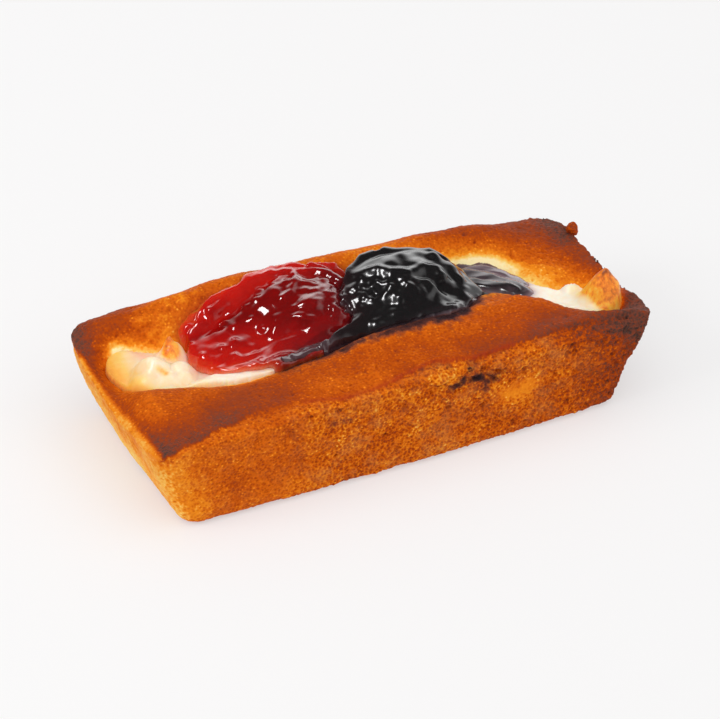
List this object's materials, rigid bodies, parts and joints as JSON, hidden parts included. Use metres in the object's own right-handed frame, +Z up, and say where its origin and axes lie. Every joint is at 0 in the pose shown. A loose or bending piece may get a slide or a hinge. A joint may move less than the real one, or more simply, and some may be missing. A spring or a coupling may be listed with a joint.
{
  "type": "financier cake",
  "caption": "Tapered oblong almond sponge cake, browned crust, with a trough of baked cream along its top and heaps of red and dark jam on the cream.",
  "frame": {"origin": "under the middle of the flat base, on the surface the cake rests on", "axes": "+X along the bar towards the end with the browned cream peak, +Y to the back, +Z up"},
  "size_m": [0.094, 0.0402, 0.0244],
  "materials": {
    "cake": "baked sponge crust",
    "cream": "baked cream",
    "red_jam": "wet jam",
    "dark_jam": "wet jam"
  },
  "bodies": {
    "root": {"cake": "cake", "cream": "cream", "red_jam": "red_jam", "dark_jam": "dark_jam"}
  },
  "joints": []
}
